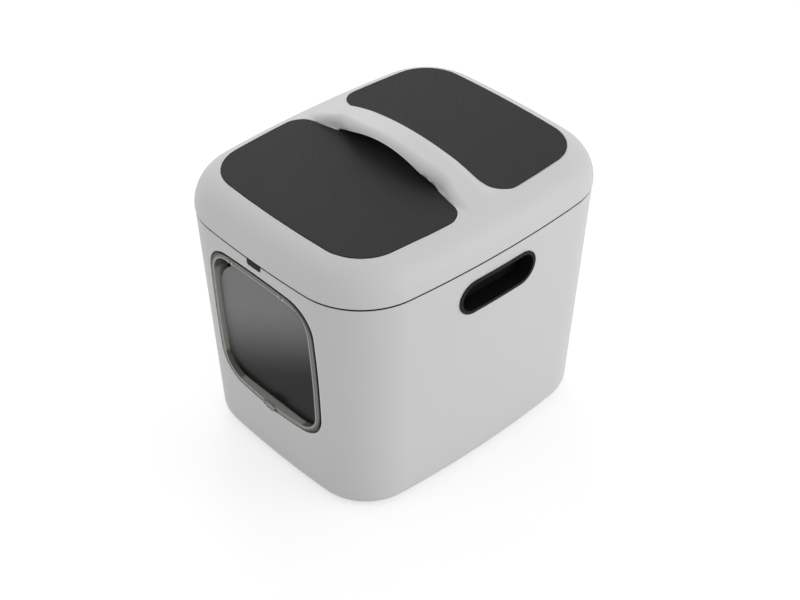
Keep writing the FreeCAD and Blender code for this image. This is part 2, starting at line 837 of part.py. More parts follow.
def make_latch_guide():
    rim_face = tub_block(rim_width + guide_rim_gap, 0, tub_height + overrun)
    half = latch_guide_half()
    arm_low = latch_bottom + latch_arm_lift
    foot_low = arm_low - strike_gap - strike_foot
    plate_top = foot_low - guide_floor_gap
    plate_low = plate_top - guide_floor
    wall_in = latch_arm_outer + latch_play
    rear_in = -rim_half_depth + latch_reach + spring_bow + spring_strip
    rear_out = rear_in + guide_rear
    lip_low = arm_low + latch_arm_height + guide_rail_gap
    lip_top = lip_low + guide_lip_thickness
    front = -rim_half_depth
    body = block(-half, half, front, rear_out, plate_low, plate_top)
    body = body.fuse(block(-half, half, rear_in, rear_out, plate_low, lip_top))
    rail_in = strike_half_width + guide_floor_gap
    rail_top = arm_low - guide_rail_gap
    lip_back = front + rim_width + guide_rim_gap + guide_lip_depth
    for side in (-1, 1):
        near, far = sorted((side * rail_in, side * half))
        body = body.fuse(block(near, far, front, rear_out, plate_low, rail_top))
        near, far = sorted((side * wall_in, side * half))
        body = body.fuse(block(near, far, front, rear_out, plate_low, lip_top))
        near, far = sorted((side * latch_arm_inner, side * half))
        body = body.fuse(block(near, far, front, lip_back, lip_low, lip_top))
        near, far = sorted((side * wall_in, side * (half + guide_ear)))
        ear_low = tub_height - rim_depth + guide_ear_bottom_gap
        ear_back = front + rim_width + guide_rim_gap + guide_ear_thickness
        body = body.fuse(block(near, far, front, ear_back, ear_low, ear_low + guide_ear_height))
    body = body.common(rim_face)
    for x, z in latch_screw_places():
        body = body.cut(rod(latch_screw_shank + hinge_play, V(x, front, z), V(x, 0, z)))
    return body.removeSplitter()


def make_latch_screws():
    screws = []
    rim_face = tub_block(rim_width, 0, tub_height)
    for x, z in latch_screw_places():
        bite = front_face_y(rim_face, x, z) - latch_screw_bite
        seat = -rim_half_depth + rim_width + guide_rim_gap + guide_ear_thickness
        head = rod(latch_screw_head, V(x, seat, z), V(x, seat + screw_head_height, z))
        screws.append(head.fuse(rod(latch_screw_shank, V(x, bite, z), V(x, seat, z))))
    return Part.makeCompound(screws)


def make_latch_spring():
    """A bowed strip between the latch's bar and the guide's rear wall."""
    top = -rim_half_depth + latch_reach
    low = latch_bottom + latch_arm_lift
    half = spring_half_span

    def bow(start):
        ends = start + spring_bow
        return V(-half, ends, low), V(0, start, low), V(half, ends, low)

    near = bow(top)
    far = bow(top + spring_strip)
    sides = [Part.makeLine(near[0], far[0]), Part.makeLine(near[2], far[2])]
    strip = Part.Wire(Part.__sortEdges__([arc(*near), arc(*far)] + sides))
    return Part.Face(strip).extrude(V(0, 0, spring_height))


def slot_row(count, pitch, width, z0, z1, x0, x1):
    """A row of upright round-ended slots through a plate that faces the side."""
    slots = []
    half_height = (z1 - z0) / 2
    for step in range(count):
        y = (step - (count - 1) / 2) * pitch
        edges = stadium_outline(half_height, width / 2)
        slot = prism(edges, V(0, 0, 0), FreeCAD.Rotation(V(0, 1, 0), -90), V(x1 - x0, 0, 0))
        slot.translate(V(x0, y, (z0 + z1) / 2))
        slots.append(slot)
    return slots


def grip_back_face():
    """The pocket's back, seen from outside."""
    return base_half_width + grip_middle * side_slope - grip_depth


def make_grip_cup():
    outside = rim_half_width + overrun
    back = grip_back_face()
    flange = grip_prism(0, 0, outside).common(tub_block(-grip_flange_proud, 0, tub_height))
    flange = flange.cut(tub_block(0, 0, tub_height))
    tunnel = grip_prism(grip_rim - grip_wall, back - grip_back, outside)
    tunnel = tunnel.common(tub_block(-grip_flange_proud, 0, tub_height))
    cup = flange.fuse(tunnel).cut(grip_prism(grip_rim, back, outside))
    slot_low = grip_middle + grip_slot_rise - grip_slot_height / 2
    row = slot_row(
        grip_slot_count, grip_slot_pitch, grip_slot_width, slot_low, slot_low + grip_slot_height,
        back - grip_back, back
    )
    cup = cup.cut(Part.makeCompound(row))
    inner_wall = base_half_width + (grip_middle - grip_half_height) * side_slope - wall - snap_gap
    sag = (snap_spread + snap_length) ** 2 / (2 * side_bow)
    hook_high = inner_wall - sag
    edge = grip_half_height - grip_rim + grip_wall
    for y in (-snap_spread, snap_spread):
        for side in (-1, 1):
            near, far = sorted((side * (edge - grip_wall / 2), side * (edge + snap_height)))
            hook = block(
                hook_high - snap_depth, hook_high, y - snap_length / 2, y + snap_length / 2,
                grip_middle + near, grip_middle + far
            )
            cup = cup.fuse(hook)
    return cup.removeSplitter()


def make_carbon_filter():
    rear = grip_back_face() - grip_back
    edges = stadium_outline(filter_half_length, filter_half_height)
    return prism(edges, V(rear - filter_thickness, 0, grip_middle), FACING_SIDE, V(filter_thickness, 0, 0))


def make_filter_cover():
    rear = grip_back_face() - grip_back
    depth = filter_thickness + cover_wall
    half_length = filter_half_length + filter_play + cover_wall
    half_height = filter_half_height + filter_play + cover_wall
    outline = stadium_outline(half_length, half_height)
    cover = prism(outline, V(rear - depth, 0, grip_middle), FACING_SIDE, V(depth, 0, 0))
    inner = stadium_outline(half_length - cover_wall, half_height - cover_wall)
    cover = cover.cut(
        prism(inner, V(rear - filter_thickness, 0, grip_middle), FACING_SIDE, V(filter_thickness, 0, 0))
    )
    row = slot_row(
        cover_slot_count, cover_slot_pitch, cover_slot_width,
        grip_middle - cover_slot_half_height, grip_middle + cover_slot_half_height,
        rear - depth, rear - filter_thickness
    )
    return cover.cut(Part.makeCompound(row))


def make_front_mat():
    return front_mat_form(0, mat_floor, mat_top)


def make_rear_mat():
    return rear_mat_form(0, mat_floor, mat_top)


def build():
    grip_cup = make_grip_cup()
    carbon_filter = make_carbon_filter()
    filter_cover = make_filter_cover()
    return {
        "tub": make_tub(),
        "rim_seal": make_rim_seal(),
        "lid": make_lid(),
        "front_mat": make_front_mat(),
        "rear_mat": make_rear_mat(),
        "lid_hinge_pin_left": make_lid_hinge_pin(-1),
        "lid_hinge_pin_right": make_lid_hinge_pin(1),
        "door_frame": make_door_frame(),
        "door_screws": make_door_screws(),
        "flap_pane": make_flap_pane(),
        "flap_pin_left": make_flap_pin(-1),
        "flap_pin_right": make_flap_pin(1),
        "flap_lock": make_flap_lock(),
        "latch_button": make_latch_button(),
        "latch_guide": make_latch_guide(),
        "latch_screws": make_latch_screws(),
        "latch_spring": make_latch_spring(),
        "grip_cup_right": grip_cup,
        "grip_cup_left": mirrored(grip_cup),
        "carbon_filter_right": carbon_filter,
        "carbon_filter_left": mirrored(carbon_filter),
        "filter_cover_right": filter_cover,
        "filter_cover_left": mirrored(filter_cover),
    }


os.makedirs("parts", exist_ok=True)
for node, shape in build().items():
    print(node, shape.ShapeType, len(shape.Solids), shape.isValid(), round(shape.Volume))
    shape.exportStep("parts/" + node + ".step")
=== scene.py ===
# %% [markdown]
# # Dressing a litter box with a hinged lid
# The solid model already knows where every piece sits and how it moves. This lesson loads it as a
# fixed frame and gives it its looks: a softly blended lid, dark mats, a smoky flap, black grips.
# Everything is in metres, with the front towards -Y and the floor at zero.

# %% Load the frame
import math

import bmesh
import bpy
from mathutils import Matrix, Vector
from mathutils.bvhtree import BVHTree


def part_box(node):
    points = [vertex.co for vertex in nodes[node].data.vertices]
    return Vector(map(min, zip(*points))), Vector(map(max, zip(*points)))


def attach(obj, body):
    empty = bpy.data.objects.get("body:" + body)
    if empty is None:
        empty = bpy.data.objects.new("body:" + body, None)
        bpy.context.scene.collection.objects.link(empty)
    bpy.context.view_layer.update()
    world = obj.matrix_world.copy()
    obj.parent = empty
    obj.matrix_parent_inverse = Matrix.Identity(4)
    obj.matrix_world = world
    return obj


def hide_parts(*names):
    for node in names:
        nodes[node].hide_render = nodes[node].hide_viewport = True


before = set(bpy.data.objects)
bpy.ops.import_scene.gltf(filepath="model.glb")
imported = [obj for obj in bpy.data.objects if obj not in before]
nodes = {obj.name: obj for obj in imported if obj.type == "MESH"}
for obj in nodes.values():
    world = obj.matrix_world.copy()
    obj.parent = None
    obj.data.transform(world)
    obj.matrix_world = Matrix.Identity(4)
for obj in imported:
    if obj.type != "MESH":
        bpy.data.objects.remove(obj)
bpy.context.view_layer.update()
MM = 0.001

# %% [markdown]
# ## The camera
# A portrait is easiest to compare with the real thing when the camera stands in the same spot. The
# spot could be typed in as plain coordinates, but a heading, a height angle and a distance from a
# point inside the tub can be adjusted one at a time. A small lens shift then puts the box where it
# belongs in the picture without turning the camera.

# %% Camera
heading = math.radians(47.34)
height_angle = math.radians(37.83)
camera_distance = 2352.1 * MM
look_at = Vector((0, 0, 200 * MM))
picture_width = 800
picture_height = 600
picture_middle = (396.03, 280.78)
focal_pixels = 1661.8

to_camera = Vector((
    math.sin(heading) * math.cos(height_angle),
    -math.cos(heading) * math.cos(height_angle),
    math.sin(height_angle),
))
eye = bpy.data.cameras.new("portrait")
eye.sensor_width = 36
eye.lens = focal_pixels / picture_width * eye.sensor_width
eye.shift_x = (picture_width / 2 - picture_middle[0]) / picture_width
eye.shift_y = (picture_middle[1] - picture_height / 2) / picture_width
camera = bpy.data.objects.new("portrait", eye)
camera.location = look_at + to_camera * camera_distance
camera.rotation_euler = to_camera.to_track_quat("Z", "Y").to_euler()
bpy.context.scene.collection.objects.link(camera)
bpy.context.scene.camera = camera
print("lens", round(eye.lens, 2), "mm, camera at", [round(c, 3) for c in camera.location])

# %% [markdown]
# ## A small language for shader maths
# Materials could be wired link by link, but sums of Math nodes are long to write that way and hard
# to read. Here each output of a node tree is wrapped in a class that knows how to add, subtract,
# multiply and divide, and every sum adds its Math node. A finish then reads like a formula.

# %% Wires


class Wire:
    """One output of a node tree that takes part in sums."""

    def __init__(self, tree, socket):
        self.tree = tree
        self.socket = socket

    def maths(self, operation, *terms):
        node = self.tree.nodes.new("ShaderNodeMath")
        node.operation = operation
        for place, term in enumerate(terms):
            plug(self.tree, term, node.inputs[place])
        return Wire(self.tree, node.outputs[0])

    def __add__(self, other):
        return self.maths("ADD", self, other)

    def __radd__(self, other):
        return self.maths("ADD", other, self)

    def __sub__(self, other):
        return self.maths("SUBTRACT", self, other)

    def __rsub__(self, other):
        return self.maths("SUBTRACT", other, self)

    def __mul__(self, other):
        return self.maths("MULTIPLY", self, other)

    def __rmul__(self, other):
        return self.maths("MULTIPLY", other, self)

    def __truediv__(self, other):
        return self.maths("DIVIDE", self, other)

    def floor(self):
        return self.maths("FLOOR", self)

    def fraction(self):
        return self.maths("FRACT", self)

    def size(self):
        return self.maths("ABSOLUTE", self)

    def at_least(self, other):
        return self.maths("MAXIMUM", self, other)

    def at_most(self, other):
        return self.maths("MINIMUM", self, other)

    def root(self):
        return self.maths("SQRT", self)


def plug(tree, term, socket):
    if isinstance(term, Wire):
        tree.links.new(term.socket, socket)
    else:
        socket.default_value = term


print("wires ready")

# %% [markdown]
# ## Boards and finishes
# All other nodes come from one method that takes the type, the settings and the sockets. A finish
# is a material with one Principled shader, and short helpers name what is used often: a place,
# noise, a blend of two colours, a ramp and a relief. Places are Object coordinates, because a
# pattern in these stays on its piece when the piece moves.

# %% Finishes


class Board:
    """A node tree and the one way to add a node to it."""

    def __init__(self, tree):
        self.tree = tree

    def node(self, kind, settings, sockets, output=0):
        node = self.tree.nodes.new(kind)
        for setting, value in settings.items():
            setattr(node, setting, value)
        for socket, value in sockets.items():
            plug(self.tree, value, node.inputs[socket])
        return Wire(self.tree, node.outputs[output])

    def axes(self, vector, names):
        kind = "ShaderNodeSeparateXYZ"
        return [self.node(kind, {}, {"Vector": vector}, name) for name in names]


class Finish(Board):
    """A material with one Principled shader and the nodes that feed it."""

    def __init__(self, name, **constants):
        self.material = bpy.data.materials.new(name)
        self.material.use_nodes = True
        super().__init__(self.material.node_tree)
        self.shader = self.tree.nodes["Principled BSDF"]
        for socket, number in constants.items():
            self.shader.inputs[socket.replace("_", " ")].default_value = number

    def feed(self, socket, wire):
        plug(self.tree, wire, self.shader.inputs[socket])

    def place(self):
        return self.node("ShaderNodeTexCoord", {}, {}, "Object")

    def noise(self, scale, detail=2.0, stretch=(1, 1, 1)):
        spot = self.node("ShaderNodeMapping", {}, {"Vector": self.place(), "Scale": stretch})
        sockets = {"Vector": spot, "Scale": scale, "Detail": detail}
        return self.node("ShaderNodeTexNoise", {}, sockets)

    def blend(self, share, first, second):
        sockets = {0: share, 6: first, 7: second}
        return self.node("ShaderNodeMix", {"data_type": "RGBA"}, sockets, 2)

    def ramp(self, value, start, end, curve="LINEAR"):
        """Zero up to the start, one from the end on."""
        sockets = {"Value": value, "From Min": start, "From Max": end}
        return self.node("ShaderNodeMapRange", {"interpolation_type": curve}, sockets)

    def relief(self, height, strength, depth, edge=0.0):
        sockets = {"Height": height, "Strength": strength, "Distance": depth}
        if edge:
            sockets["Normal"] = self.node("ShaderNodeBevel", {"samples": 4}, {"Radius": edge})
        self.feed("Normal", self.node("ShaderNodeBump", {}, sockets))


def grey(level):
    return (level, level, level, 1)


print("finishes ready")

# %% [markdown]
# ## The shell's plastic
# Tub and lid are moulded in one pale grey plastic with a fine satin texture from the mould. One
# flat colour would be simplest, but big walls then look printed. So a soft, wide drift varies the
# tone, and a very fine noise breaks up the gloss and roughens the surface a little. Moulded edges
# catch the light, and that highlight is painted into the colour as a paler line. It could be
# painted by hand, but a Bevel node finds all the edges, where its normal leaves the true one. Close
# to the seam between tub and lid the painted highlight is switched off, so that the seam stays a
# thin dark line.

# %% Shell plastic
shell = Finish("shell_plastic", IOR=1.46)
edge_radius = 2.8 * MM
edge_gain = 9
seam_height = 360 * MM
seam_reach = (16 * MM, 20 * MM)
drift = shell.noise(5, 3)
facing = shell.node("ShaderNodeNewGeometry", {}, {}, "Normal")
rounded = shell.node("ShaderNodeBevel", {"samples": 6}, {"Radius": edge_radius})
aligned = shell.node(
    "ShaderNodeVectorMath", {"operation": "DOT_PRODUCT"}, {0: facing, 1: rounded}, "Value",
)
(shell_z,) = shell.axes(shell.place(), "Z")
off_seam = shell.ramp((shell_z - seam_height).size(), *seam_reach)
# Painted highlight: moulded edges are lightened towards a pale grey, but not near the seam.
painted_edge_highlight = ((1 - aligned) * edge_gain).at_most(1) * off_seam
body_grey = shell.blend(drift, grey(0.655), grey(0.685))
shell.feed("Base Color", shell.blend(painted_edge_highlight, body_grey, grey(0.95)))
grain = shell.noise(1400, 2)
shell.feed("Roughness", 0.4 + 0.12 * grain + 0.05 * drift)
shell.relief(grain, 0.10, 0.1 * MM, 1.0 * MM)
print("shell", len(shell.tree.nodes), "nodes")

# %% [markdown]
# ## The mats
# The two mats on the lid are dark ribbed rubber: rows of short raised dashes, every second row
# moved on by half a dash. Each dash could be modelled, but there are thousands and they stand up
# by a third of a millimetre, so a pattern in the material is enough. Fractions of the place along
# X and Y give each point its spot inside one dash, and the distance to the dash's middle makes its
# height.

# %% Mat rubber
mat = Finish("mat_rubber", IOR=1.5, Specular_IOR_Level=0.22)
dash_width = 2.4 * MM
dash_length = 4.8 * MM
dash_foot = 0.95
dash_crest = 0.55
mat_x, mat_y = mat.axes(mat.place(), "XY")
column = mat_x / dash_width
row = mat_y / dash_length + 0.5 * column.floor()
across = (column.fraction() - 0.5).size() * 2
along = (row.fraction() - 0.5).size() * 2
dash = mat.ramp(across.at_least(along), dash_foot, dash_crest, "SMOOTHSTEP")
mat_drift = mat.noise(30, 3)
mat_low = mat.blend(mat_drift, grey(0.013), grey(0.018))
mat_high = mat.blend(mat_drift, grey(0.025), grey(0.031))
mat.feed("Base Color", mat.blend(dash, mat_low, mat_high))
mat.feed("Roughness", 0.62 - 0.1 * dash + 0.08 * mat_drift)
mat.relief(dash, 0.5, 0.35 * MM)
print("mat", len(mat.tree.nodes), "nodes")

# %% [markdown]
# ## The smoky flap
# The flap is a pane of tinted clear plastic that swings in the door. Seen against the dark inside
# it looks grey near the top, where it catches the light, and nearly black near the sill. It could
# be made see-through, but its tone would then depend on all that lies behind it. So the pane's
# smoky colour gets painted light near the top and painted shade near the sill, as a smooth ramp
# that slants across the pane, and the gloss is kept low, because reflections would wash it out.

# %% Smoke pane
pane = Finish("smoke_pane", IOR=1.49, Specular_IOR_Level=0.06)
painted_shade_height = 155 * MM
painted_light_height = 290 * MM
painted_light_slant = 0.57
painted_light_waver = 6 * MM
pane_x, pane_z = pane.axes(pane.place(), "XZ")
cloud = pane.noise(9, 2)
# Painted light and shade: the smoky pane is lighter towards the top and darker towards the sill.
slant = pane_z - painted_light_slant * pane_x + painted_light_waver * cloud
painted_light_ramp = pane.ramp(slant, painted_shade_height, painted_light_height, "SMOOTHSTEP")
pane.feed("Base Color", pane.blend(painted_light_ramp, grey(0.006), grey(0.235)))
pane.feed("Roughness", 0.26 + 0.06 * cloud)
print("pane", len(pane.tree.nodes), "nodes")

# %% [markdown]
# ## The door frame
# The frame is a ring of the same plastic that lies in the front wall. Separate pieces could carry
# separate colours, but the ring is one moulding. So three tones are laid over one material by the
# distance to the ring's outline: nearly black in the gap along the outer edge, which is painted
# shadow, grey on the face, which is the plastic's own tone, and paler in the tunnel inside, which
# is painted light. The outline has bowed sides and round corners, and the distance follows them.

# %% Smoke frame
smoke = Finish("smoke_frame", IOR=1.49)
door_middle = 220.25 * MM
door_plan = (105.2 * MM, 117.25 * MM, 44 * MM, 1500 * MM, 700 * MM)
painted_shadow_edge = (-0.9 * MM, -0.3 * MM)
painted_light_edge = (-7.0 * MM, -7.6 * MM)
smoke_drift = smoke.noise(20, 3)
smoke_x, smoke_z = smoke.axes(smoke.place(), "XZ")
up = smoke_z - door_middle
door_half_x, door_half_z, door_corner, side_bow, top_bow = door_plan
bowed_x = smoke_x.size() + up * up / (2 * side_bow)
bowed_z = up.size() + smoke_x * smoke_x / (2 * top_bow)
past_side = (bowed_x - (door_half_x - door_corner)).at_least(0)
past_top = (bowed_z - (door_half_z - door_corner)).at_least(0)
beyond = (past_side * past_side + past_top * past_top).root() - door_corner
# Painted shadow in the outer gap and painted light in the tunnel, by the distance to the outline.
gap_painted_shadow = smoke.ramp(beyond, *painted_shadow_edge)
tunnel_painted_light = smoke.ramp(beyond, *painted_light_edge)
face_tone = smoke.blend(smoke_drift, (0.150, 0.149, 0.137, 1), (0.180, 0.178, 0.163, 1))
tone_with_tunnel_light = smoke.blend(tunnel_painted_light, face_tone, (0.40, 0.398, 0.37, 1))
smoke.feed("Base Color", smoke.blend(gap_painted_shadow, tone_with_tunnel_light, (0.012, 0.012, 0.011, 1)))
smoke_grain = smoke.noise(1500, 2)
smoke.feed("Roughness", 0.3 + 0.1 * smoke_grain)
smoke.relief(smoke_grain, 0.06, 0.08 * MM, 0.8 * MM)
print("frame", len(smoke.tree.nodes), "nodes")

# %% [markdown]
# ## Lip and lock
# The lip is a fine bead round the door, and the lock is the small tab under the flap. Thin edges
# of tinted plastic gather light and look paler than its faces. Tracing that light would take many
# samples, so it is drawn: the lip gets a pale tone all over, and the lock gets a bright line along
# its foot.

# %% Lip and lock plastic
lip_finish = Finish("smoke_lip", IOR=1.49)
lip_drift = lip_finish.noise(40, 3)
lip_tone = lip_finish.blend(lip_drift, (0.35, 0.348, 0.32, 1), (0.41, 0.406, 0.378, 1))
lip_finish.feed("Base Color", lip_tone)
lip_finish.feed("Roughness", 0.2 + 0.1 * lip_drift)

lock_finish = Finish("smoke_lock", IOR=1.49)
lock_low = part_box("flap_lock")[0]
glow_edge = (3.2 * MM, 1.2 * MM)
(lock_z,) = lock_finish.axes(lock_finish.place(), "Z")
foot_glow = lock_finish.ramp(lock_z - lock_low.z, *glow_edge, "SMOOTHSTEP")
lock_drift = lock_finish.noise(60, 3)
lock_tone = lock_finish.blend(lock_drift, (0.20, 0.20, 0.185, 1), (0.24, 0.238, 0.22, 1))
lock_finish.feed("Base Color", lock_finish.blend(foot_glow, lock_tone, grey(0.86)))
lock_finish.feed("Roughness", 0.24 + 0.1 * lock_drift)
print("lock's foot at", round(lock_low.z / MM, 1))

# %% [markdown]
# ## The small dark and bright finishes
# Grips, latch and filter covers are black plastic; the seal is soft rubber; pins, screws and the
# latch's spring are steel; the filters are black foam. One dark material could serve for most of
# them, but each gets its own grain, because close up a single flat colour always looks like paint.

# %% Small finishes
dark = Finish("dark_plastic", IOR=1.5, Specular_IOR_Level=0.08)
dark_grain = dark.noise(1100, 3)
dark_drift = dark.noise(25, 2)
dark.feed("Base Color", dark.blend(dark_drift, grey(0.007), grey(0.012)))
dark.feed("Roughness", 0.40 + 0.14 * dark_grain)
dark.relief(dark_grain, 0.08, 0.1 * MM, 0.6 * MM)

seal = Finish("seal_rubber", IOR=1.5, Specular_IOR_Level=0.1)
seal_grain = seal.noise(700, 3)
seal.feed("Base Color", seal.blend(seal_grain, grey(0.010), grey(0.018)))
seal.feed("Roughness", 0.6 + 0.2 * seal_grain)
seal.relief(seal_grain, 0.15, 0.1 * MM)

steel = Finish("bright_steel", Metallic=1.0)
streak = steel.noise(300, 3, (1, 12, 12))
steel.feed("Base Color", steel.blend(streak, grey(0.50), grey(0.62)))
steel.feed("Roughness", 0.24 + 0.16 * streak)

carbon = Finish("carbon_foam", IOR=1.5)
pore_sockets = {"Vector": carbon.place(), "Scale": 650}
pores = carbon.node("ShaderNodeTexVoronoi", {"feature": "F1"}, pore_sockets)
carbon.feed("Base Color", carbon.blend(pores, grey(0.006), grey(0.03)))
carbon.feed("Roughness", 0.75 + 0.2 * pores)
carbon.relief(pores, 0.8, 0.8 * MM)
print("small finishes", dark.material.name, seal.material.name, steel.material.name,
      carbon.material.name)

# %% [markdown]
# ## Who wears what
# Every solid of the real object needs a finish. Each could get it in the cells above, but in one
# table it is easy to see that none is left out. The solids keep their shape and their place.

# %% Dress the solids
finishes = {
    shell: ["tub", "lid"],
    mat: ["front_mat", "rear_mat"],
    pane: ["flap_pane"],
    smoke: ["door_frame"],
    lock_finish: ["flap_lock"],
    seal: ["rim_seal"],
    dark: ["latch_button", "latch_guide", "grip_cup_right", "grip_cup_left",
           "filter_cover_right", "filter_cover_left"],
    steel: ["lid_hinge_pin_left", "lid_hinge_pin_right", "flap_pin_left", "flap_pin_right",
            "door_screws", "latch_screws", "latch_spring"],
    carbon: ["carbon_filter_right", "carbon_filter_left"],
}
for finish, names in finishes.items():
    for name in names:
        nodes[name].data.materials.clear()
        nodes[name].data.materials.append(finish.material)
print("dressed", sum(len(names) for names in finishes.values()), "of", len(nodes))

# %% [markdown]
# ## Outlines with bowed sides
# Seen from above, the lid has four sides that bow out a little, joined by wide round corners. A
# rectangle with bevelled corners would have straight sides. Here each quarter of the plan is three
# arcs that touch smoothly, so one vertex is spun about three centres, and two mirrors complete the
# loop. Spinning keeps the vertices evenly spaced, which a bevel likes.

# %% Bowed outlines
NEAR = 0.01 * MM


def bowed_loop(bm, plan, inset, z, steps):
    """Draws a plan, moved in by inset, at height z and returns its edges."""
    half_x, half_y, corner, bow_x, bow_y = [length - inset for length in plan]
    front_centre = Vector((0, bow_y - half_y, z))
    side_centre = Vector((half_x - bow_x, 0, z))
    between = side_centre - front_centre
    front_arm, side_arm = bow_y - corner, bow_x - corner
    foot = (front_arm ** 2 - side_arm ** 2 + between.length_squared) / (2 * between.length)
    rise = math.sqrt(front_arm ** 2 - foot ** 2)
    along = between.normalized()
    heart = front_centre + along * foot + Vector((-along.y, along.x, 0)) * rise
    to_front = (heart - front_centre).to_2d()
    to_side = (heart - side_centre).to_2d()
    turns = [
        (front_centre, Vector((0, -1)).angle_signed(to_front), steps[0]),
        (heart, to_front.angle_signed(to_side), steps[1]),
        (side_centre, to_side.angle_signed(Vector((1, 0))), steps[2]),
    ]
    old = set(bm.verts)
    tip = bm.verts.new((0, -half_y, z))
    for centre, turn, count in turns:
        swept = bmesh.ops.spin(
            bm, geom=[tip], cent=centre, axis=(0, 0, 1), angle=abs(turn), steps=count,
        )
        tip = next(v for v in swept["geom_last"] if isinstance(v, bmesh.types.BMVert))
    for axis in "XY":
        fresh = [v for v in bm.verts if v not in old]
        lines = list({e for v in fresh for e in v.link_edges})
        bmesh.ops.mirror(bm, geom=fresh + lines, axis=axis, merge_dist=NEAR)
    fresh = [v for v in bm.verts if v not in old]
    bmesh.ops.remove_doubles(bm, verts=fresh, dist=NEAR)
    return list({e for v in bm.verts if v not in old for e in v.link_edges})


print("outlines ready")

# %% [markdown]
# ## From outline to block
# Most parts of a moulding are an outline that is pulled up into a block and has its edges rounded.
# In Edit Mode that is an extrude and a bevel on a selection. The bmesh operators do the same to
# lists of faces and edges, so nothing has to be selected and the steps can be used again for each
# piece.

# %% Block helpers


def pull(bm, faces, sweep):
    """Pulls faces along a vector into a closed block and returns what has grown."""
    grown = bmesh.ops.extrude_face_region(bm, geom=faces)["geom"]
    lifted = [g for g in grown if isinstance(g, bmesh.types.BMVert)]
    bmesh.ops.translate(bm, verts=lifted, vec=sweep)
    bmesh.ops.recalc_face_normals(bm, faces=bm.faces)
    return grown


def raise_face(bm, edges, sweep):
    """Fills a loop and pulls it along a vector; returns the far face."""
    bmesh.ops.contextual_create(bm, geom=edges)
    grown = pull(bm, [edges[0].link_faces[0]], sweep)
    return next(g for g in grown if isinstance(g, bmesh.types.BMFace))


def round_edges(bm, edges, radius, segments):
    bmesh.ops.bevel(
        bm, geom=edges, offset=radius, offset_type="OFFSET", affect="EDGES", segments=segments,
        profile=0.5, material=-1, clamp_overlap=False,
    )


def as_object(bm, name):
    mesh = bpy.data.meshes.new(name)
    bm.to_mesh(mesh)
    bm.free()
    piece = bpy.data.objects.new(name, mesh)
    bpy.context.scene.collection.objects.link(piece)
    return piece


print("block helpers ready")

# %% [markdown]
# ## The handle's form
# The real lid is one moulding: a dome with a handle that rises out of it without a seam. The
# handle could be a bevelled block, but its front edge swings to and fro and its height changes
# from side to side. So it is described as a height over every point of the plan: an arch from side
# to side, rounded off along its front and rear edges.

# %% Handle height
lid_low, lid_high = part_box("lid")
mat_high_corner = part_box("rear_mat")[1]
mat_drop = 0.6 * MM
lid_top = mat_high_corner.z + mat_drop

handle_rear = 39.0 * MM
handle_arch = 400 * MM
front_round = 15 * MM
rear_round = 25 * MM
rear_margin = 1 * MM
wall_steepness = 6.0
front_middle = -22.0 * MM
knee_back = 5.6 * MM
corner_out = 10.0 * MM
knee_span = (62 * MM, 98 * MM)
corner_span = (98 * MM, 138 * MM)


def edge_drop(inside, radius):
    """How far a rounded edge falls away, inside being the distance in from the edge's foot."""
    if inside >= radius:
        return 0.0
    if inside <= 0:
        return radius - inside * wall_steepness
    return radius - math.sqrt(radius ** 2 - (radius - inside) ** 2)


def ease(low, high, value):
    share = min(max((value - low) / (high - low), 0), 1)
    return share * share * (3 - 2 * share)


def handle_front(x):
    """The handle's front edge: it draws back to the mat's knees, then swings out to its corners."""
    knee = ease(*knee_span, abs(x))
    corner = ease(*corner_span, abs(x))
    return front_middle + knee_back * knee - corner_out * corner


def handle_height(x, y):
    arch = lid_high.z - handle_arch + math.sqrt(handle_arch ** 2 - x ** 2)
    stretch = max(1, (arch - lid_top + rear_margin) / rear_round)
    front_drop = edge_drop(y - handle_front(x), front_round)
    rear_drop = edge_drop(handle_rear - y, rear_round)
    return arch - front_drop - stretch * rear_drop


print("handle rises", round((handle_height(0, 0) - lid_top) / MM, 1), "mm over the lid")

# %% [markdown]
# ## The lid's dome
# The dome itself is the bowed plan pulled up, with a wide round shoulder. It could be sculpted or
# subdivided from a cage, but a bevel with many segments keeps the shoulder's radius exact all the
# way round.

# %% Lid dome
lid_rise = 52.0 * MM
lid_base = lid_top - lid_rise
lid_plan = ((lid_high.x - lid_low.x) / 2, -lid_low.y, 101.8 * MM, 1655 * MM, 1670 * MM)
lid_steps = (12, 18, 12)
shoulder = 51.5 * MM
shoulder_segments = 22

bm = bmesh.new()
outline = bowed_loop(bm, lid_plan, 0, lid_base, lid_steps)
top = raise_face(bm, outline, (0, 0, lid_rise))
round_edges(bm, list(top.edges), shoulder, shoulder_segments)
print("dome", len(bm.faces), "faces")

# %% [markdown]
# ## Melting the handle in
# A boolean union of dome and handle would leave a hard line where the two meet. Instead the dome
# is cut into a fine grid and its vertices are lifted to a soft maximum of dome and handle, which
# melts one into the other. Along the front of the handle the melt is kept short, because the lip
# over the finger pocket is crisp, and towards the sides the lift fades out.

# %% Melt the handle into the dome
handle_blend = 6 * MM
handle_reach = 72 * MM
grid_lines = [
    (1, -70 * MM, -30 * MM, 4 * MM),
    (1, -28 * MM, -4 * MM, 0.75 * MM),
    (1, 0 * MM, 70 * MM, 2.5 * MM),
    (0, -192 * MM, 192 * MM, 3 * MM),
]
large_face = 0.01
lift_above = lid_base + 10 * MM
lift_within = 190 * MM
crisp_share = 0.85
crisp_sides = (100 * MM, 125 * MM)
crisp_rear = (0, 8 * MM)
fade_sides = (140 * MM, 176 * MM)


def soft_max(a, b, width):
    return max(a, b) + max(width - abs(a - b), 0) ** 2 / (4 * width)


def spaced(start, end, spacing):
    count = round((end - start) / spacing)
    return [start + (end - start) * i / count for i in range(count + 1)]


